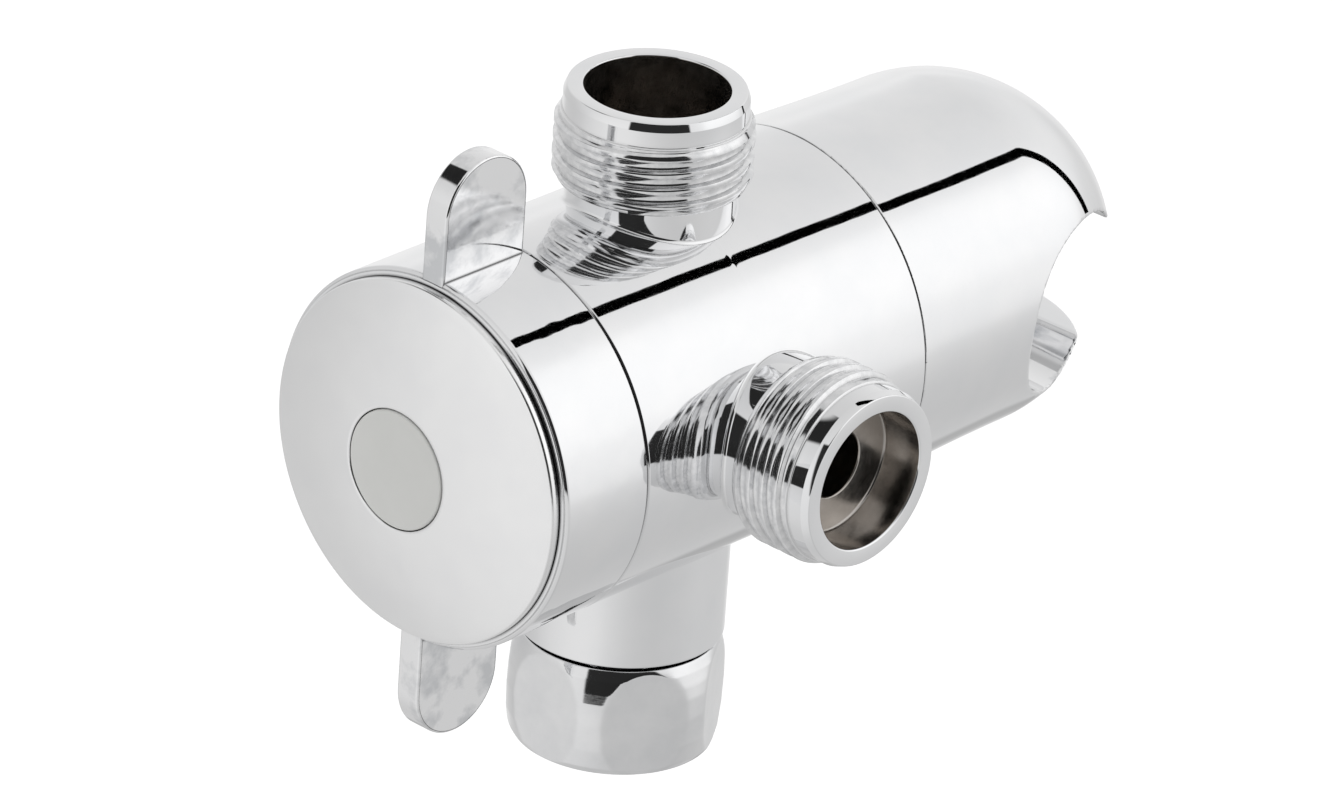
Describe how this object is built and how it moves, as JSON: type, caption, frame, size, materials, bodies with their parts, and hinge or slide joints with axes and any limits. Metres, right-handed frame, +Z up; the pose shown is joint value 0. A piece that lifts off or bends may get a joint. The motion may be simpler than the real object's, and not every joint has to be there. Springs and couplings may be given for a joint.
{
  "type": "diverter valve",
  "caption": "Shower diverter valve with a quarter-turn knob, a male outlet on top and another on the side, a swivel inlet nut below and a turning handset cradle at the back.",
  "frame": {"origin": "centre of the inlet nut's open bottom face", "axes": "+X along the main axis from the knob to the cradle, +Z up through the top outlet, -Y out of the side outlet"},
  "size_m": [0.1005, 0.0534, 0.0753],
  "materials": {
    "chrome": "polished",
    "satin_chrome": "satin",
    "grey_plastic": "matte",
    "steel": "bright",
    "brass": "machined",
    "rubber": "moulded",
    "white_plastic": "moulded"
  },
  "bodies": {
    "housing": {"valve_body": "chrome", "bonnet": "brass", "bonnet_o_ring": "rubber", "top_port_seal": "rubber", "side_port_seal": "rubber", "stop_pin": "steel", "nut_retaining_ring": "steel", "inlet_washer": "rubber", "inlet_screen": "steel", "bracket_bushing": "white_plastic", "thrust_washer": "white_plastic", "friction_washer": "white_plastic", "wave_washer": "steel", "bracket_screw": "steel", "bracket_screw_washer": "steel"},
    "knob_group": {"knob": "chrome", "knob_face_plate": "satin_chrome", "knob_button": "grey_plastic", "knob_screw": "steel", "rotor": "brass", "stem_o_ring_front": "rubber", "stem_o_ring_back": "rubber", "rotor_o_ring_front": "rubber", "rotor_o_ring_back": "rubber"},
    "nut": {"swivel_nut": "chrome"},
    "cradle": {"cradle_bracket": "chrome"}
  },
  "joints": [
    {"name": "knob_turn", "type": "hinge", "parent": "housing", "child": "knob_group", "pos_m": [0, 0, 0.0423], "axis": [1, 0, 0], "range_deg": [-90, 0]},
    {"name": "nut_spin", "type": "hinge", "parent": "housing", "child": "nut", "pos_m": [0, 0, 0.0055], "axis": [0, 0, 1], "continuous": true},
    {"name": "cradle_turn", "type": "hinge", "parent": "housing", "child": "cradle", "pos_m": [0.031, 0, 0.0423], "axis": [1, 0, 0], "continuous": true}
  ]
}
